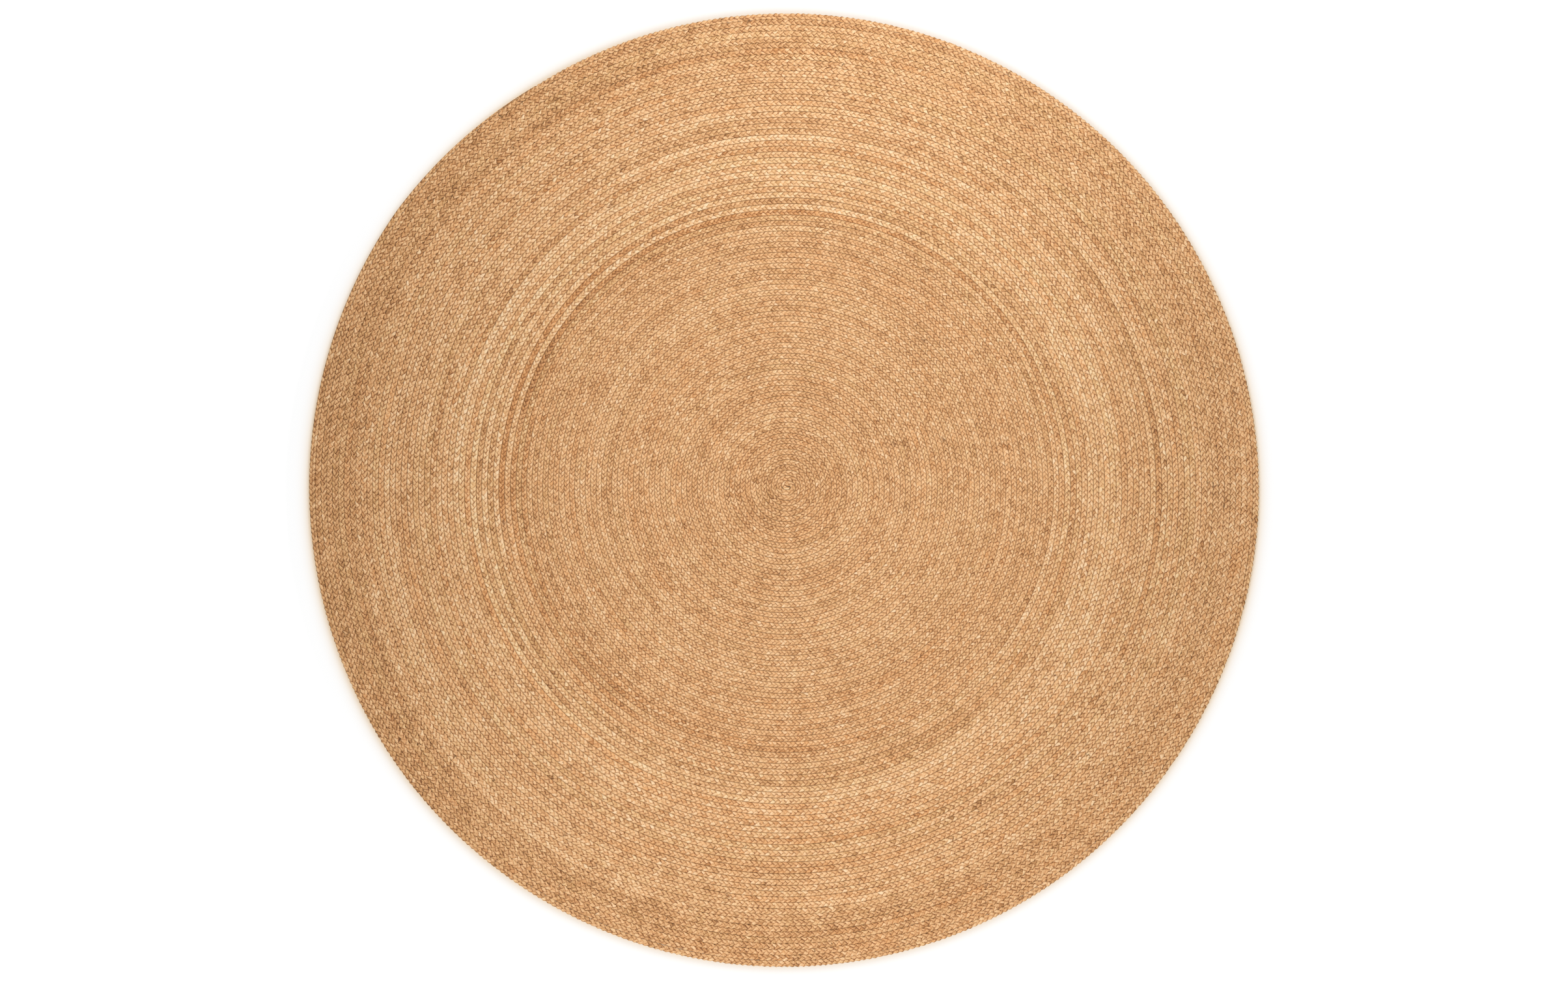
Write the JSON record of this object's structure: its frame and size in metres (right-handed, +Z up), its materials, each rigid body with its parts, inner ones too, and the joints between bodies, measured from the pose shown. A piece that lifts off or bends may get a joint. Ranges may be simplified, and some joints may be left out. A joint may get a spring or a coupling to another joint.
{
  "type": "round braided area rug",
  "caption": "Round flat area rug: one long plait of natural jute wound in a spiral and sewn turn to turn, lying flat on the floor.",
  "frame": {"origin": "middle of the underside, where the rug lies on the floor", "axes": "+Z is up, out of the upper face; the plait's tail on the rim lies 122 degrees anticlockwise from +X, seen from above"},
  "size_m": [2.002, 1.996, 0.0091],
  "materials": {
    "jute_braid": "golden tan raw jute fibre plait, soft sheen along the fibres, tone varies from strand to strand",
    "sewing_thread": "matt twisted thread, a darker brown tan than the plait"
  },
  "bodies": {
    "root": {"braid_length_01": "jute_braid", "braid_length_02": "jute_braid", "braid_length_03": "jute_braid", "braid_length_04": "jute_braid", "braid_length_05": "jute_braid", "braid_length_06": "jute_braid", "braid_length_07": "jute_braid", "braid_length_08": "jute_braid", "braid_length_09": "jute_braid", "braid_length_10": "jute_braid", "braid_length_11": "jute_braid", "braid_length_12": "jute_braid", "braid_length_13": "jute_braid", "braid_length_14": "jute_braid", "braid_length_15": "jute_braid", "braid_length_16": "jute_braid", "seam_thread_01": "sewing_thread", "seam_thread_02": "sewing_thread", "seam_thread_03": "sewing_thread", "seam_thread_04": "sewing_thread", "seam_thread_05": "sewing_thread", "seam_thread_06": "sewing_thread", "seam_thread_07": "sewing_thread", "seam_thread_08": "sewing_thread", "seam_thread_09": "sewing_thread", "seam_thread_10": "sewing_thread", "seam_thread_11": "sewing_thread", "seam_thread_12": "sewing_thread", "seam_thread_13": "sewing_thread", "seam_thread_14": "sewing_thread", "seam_thread_15": "sewing_thread", "joint_stitches_01": "sewing_thread", "joint_stitches_02": "sewing_thread", "joint_stitches_03": "sewing_thread", "joint_stitches_04": "sewing_thread", "joint_stitches_05": "sewing_thread", "joint_stitches_06": "sewing_thread", "joint_stitches_07": "sewing_thread", "joint_stitches_08": "sewing_thread", "joint_stitches_09": "sewing_thread", "joint_stitches_10": "sewing_thread", "joint_stitches_11": "sewing_thread", "joint_stitches_12": "sewing_thread", "joint_stitches_13": "sewing_thread", "joint_stitches_14": "sewing_thread", "joint_stitches_15": "sewing_thread", "tail_stitches": "sewing_thread"}
  },
  "joints": []
}
